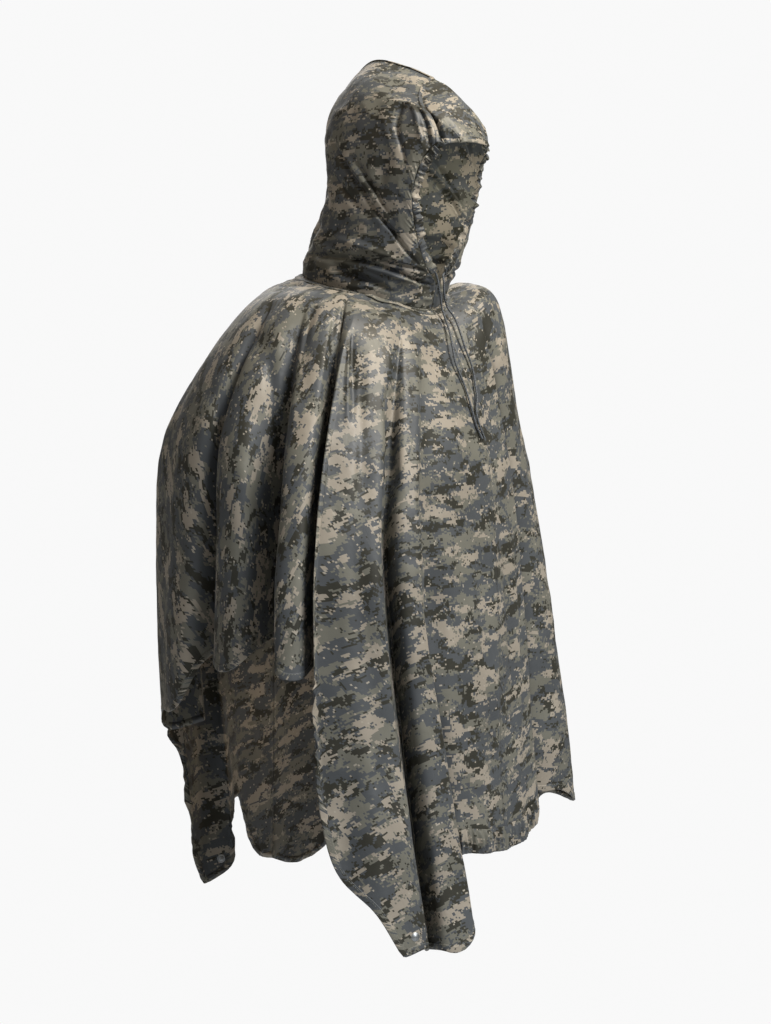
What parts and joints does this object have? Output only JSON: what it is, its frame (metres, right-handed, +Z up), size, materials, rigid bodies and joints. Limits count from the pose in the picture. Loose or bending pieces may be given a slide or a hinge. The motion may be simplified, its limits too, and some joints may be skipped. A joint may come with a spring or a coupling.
{
  "type": "hooded rain poncho",
  "caption": "Hooded rain poncho of thin coated cloth, worn and filled out with nobody inside, with deep hanging folds and a drawcord hood.",
  "frame": {"origin": "middle of the neck base, where the wearer's shoulders and neck hold the poncho", "axes": "+Z up, the front faces -Y, and the wearer's right side is -X"},
  "size_m": [0.722, 0.573, 1.3407],
  "materials": {
    "cloth": "satin coated",
    "cord": "braided matt",
    "snap": "satin"
  },
  "bodies": {
    "root": {"body_right": "cloth", "body_left": "cloth", "hood_right": "cloth", "hood_left": "cloth", "hood_visor": "cloth", "casing_right": "cloth", "casing_left": "cloth", "hem_band_front": "cloth", "hem_band_back": "cloth", "drawcord_right": "cord", "drawcord_left": "cord", "snap_front_right": "snap", "snap_front_left": "snap", "snap_back_right": "snap", "snap_back_left": "snap"}
  },
  "joints": []
}
